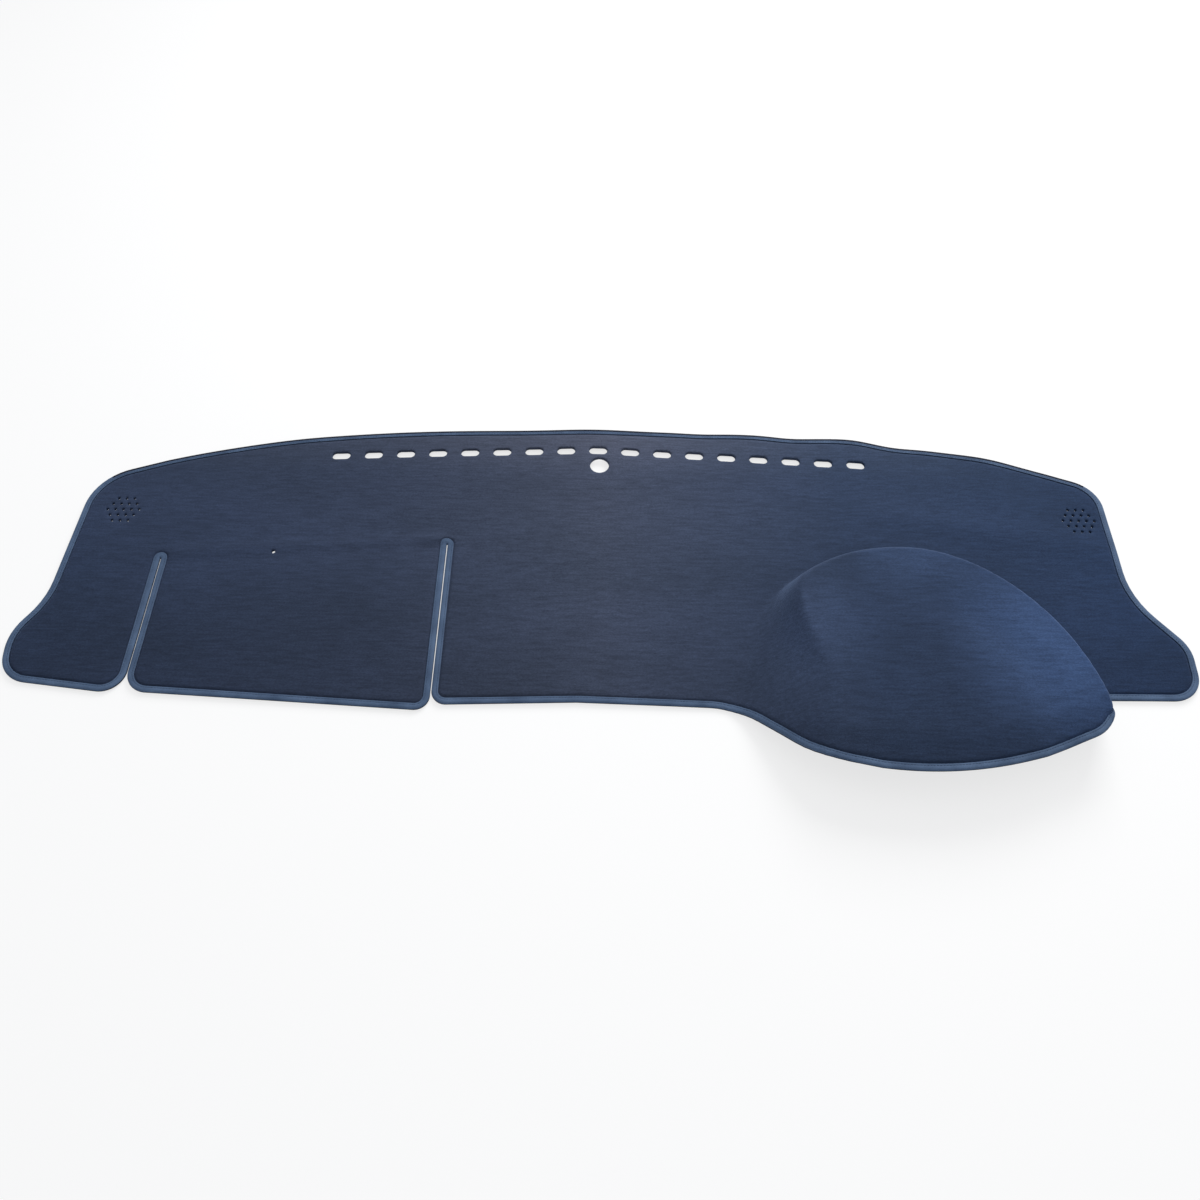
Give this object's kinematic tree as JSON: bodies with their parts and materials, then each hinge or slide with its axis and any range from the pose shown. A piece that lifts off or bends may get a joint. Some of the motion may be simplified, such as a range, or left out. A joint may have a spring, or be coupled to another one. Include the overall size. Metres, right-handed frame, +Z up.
{
  "type": "dashboard cover mat",
  "caption": "Moulded carpet cover for a vehicle dashboard, with an instrument hood, demister slots, a slit-bounded flap and a folded tape round its edge.",
  "frame": {"origin": "middle of the mat's base, on the surface that it lies on", "axes": "+X along the mat's width to the driver's right, +Y towards the windscreen, +Z up"},
  "size_m": [1.4536, 0.5274, 0.069],
  "materials": {
    "carpet": "short velvety pile, matt",
    "binding_tape": "smooth woven tape"
  },
  "bodies": {
    "root": {"cover_panel": "carpet", "edge_binding": "binding_tape"}
  },
  "joints": []
}
